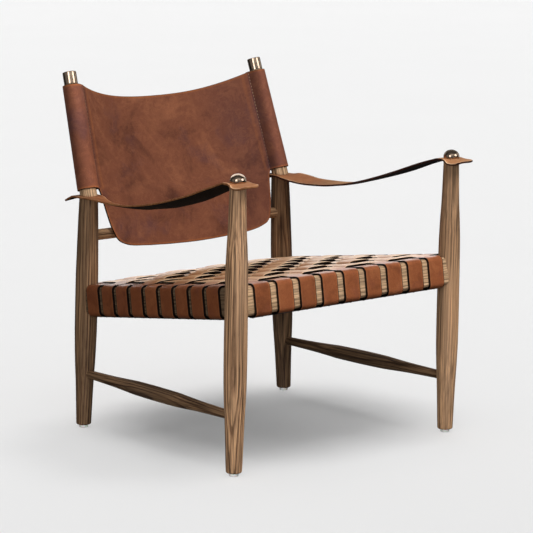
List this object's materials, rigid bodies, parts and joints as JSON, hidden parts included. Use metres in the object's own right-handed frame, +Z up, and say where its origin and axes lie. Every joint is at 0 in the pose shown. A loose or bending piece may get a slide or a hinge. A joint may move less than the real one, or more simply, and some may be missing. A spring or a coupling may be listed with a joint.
{
  "type": "lounge chair",
  "caption": "Lounge armchair with a turned wood frame, a leather sling back sewn around raked posts, a seat woven from leather straps and slack leather strap arms.",
  "frame": {"origin": "on the floor under the middle of the chair's bounding box", "axes": "+Z up, -Y to the front where the sitter faces, +X to the right seen from the front"},
  "size_m": [0.6624, 0.7219, 0.7912],
  "materials": {
    "frame_wood": "weathered grey-brown oil finish with open vertical grain",
    "rail_wood": "paler bare wood",
    "sling_leather": "pull-up cognac leather, mottled",
    "strap_leather": "cognac strap leather, dark painted edges",
    "aged_brass": "polished, aged",
    "steel": "zinc plated",
    "glide_plastic": "pale moulded plastic"
  },
  "bodies": {
    "frame": {"front_left_leg": "frame_wood", "rear_left_leg": "frame_wood", "left_back_post": "frame_wood", "left_post_dowel": "rail_wood", "left_post_cap": "aged_brass", "left_knob_insert": "aged_brass", "front_left_glide": "glide_plastic", "front_left_glide_nail": "steel", "rear_left_glide": "glide_plastic", "rear_left_glide_nail": "steel", "left_stretcher": "frame_wood", "left_arm_strap": "strap_leather", "front_right_leg": "frame_wood", "rear_right_leg": "frame_wood", "right_back_post": "frame_wood", "right_post_dowel": "rail_wood", "right_post_cap": "aged_brass", "right_knob_insert": "aged_brass", "front_right_glide": "glide_plastic", "front_right_glide_nail": "steel", "rear_right_glide": "glide_plastic", "rear_right_glide_nail": "steel", "right_stretcher": "frame_wood", "right_arm_strap": "strap_leather", "front_seat_rail": "rail_wood", "front_tack_strip": "steel", "rear_seat_rail": "rail_wood", "rear_tack_strip": "steel", "left_seat_rail": "rail_wood", "left_tack_strip": "steel", "right_seat_rail": "rail_wood", "right_tack_strip": "steel", "back_rail": "frame_wood", "back_sling": "sling_leather", "warp_strap_1": "strap_leather", "warp_strap_2": "strap_leather", "warp_strap_3": "strap_leather", "warp_strap_4": "strap_leather", "warp_strap_5": "strap_leather", "warp_strap_6": "strap_leather", "warp_strap_7": "strap_leather", "warp_strap_8": "strap_leather", "warp_strap_9": "strap_leather", "weft_strap_1": "strap_leather", "weft_strap_2": "strap_leather", "weft_strap_3": "strap_leather", "weft_strap_4": "strap_leather", "weft_strap_5": "strap_leather", "weft_strap_6": "strap_leather", "weft_strap_7": "strap_leather", "weft_strap_8": "strap_leather", "weft_strap_9": "strap_leather"},
    "left_stud": {"left_knob_stud": "steel"},
    "left_knob": {"left_arm_knob": "aged_brass"},
    "right_stud": {"right_knob_stud": "steel"},
    "right_knob": {"right_arm_knob": "aged_brass"}
  },
  "joints": [
    {"name": "left_knob_lift", "type": "slide", "parent": "frame", "child": "left_stud", "axis": [0, 0, 1], "range_m": [0, 0.0151]},
    {"name": "left_knob_turn", "type": "hinge", "parent": "left_stud", "child": "left_knob", "pos_m": [-0.3021, -0.3089, 0.6158], "axis": [0, 0, 1], "range_deg": [0, 4320]},
    {"name": "right_knob_lift", "type": "slide", "parent": "frame", "child": "right_stud", "axis": [0, 0, 1], "range_m": [0, 0.0151]},
    {"name": "right_knob_turn", "type": "hinge", "parent": "right_stud", "child": "right_knob", "pos_m": [0.3021, -0.3089, 0.6158], "axis": [0, 0, 1], "range_deg": [0, 4320]}
  ],
  "couplings": [
    {"joint": "left_knob_lift", "follows": "left_knob_turn", "m_per_rad": 0.00019894},
    {"joint": "right_knob_lift", "follows": "right_knob_turn", "m_per_rad": 0.00019894}
  ]
}
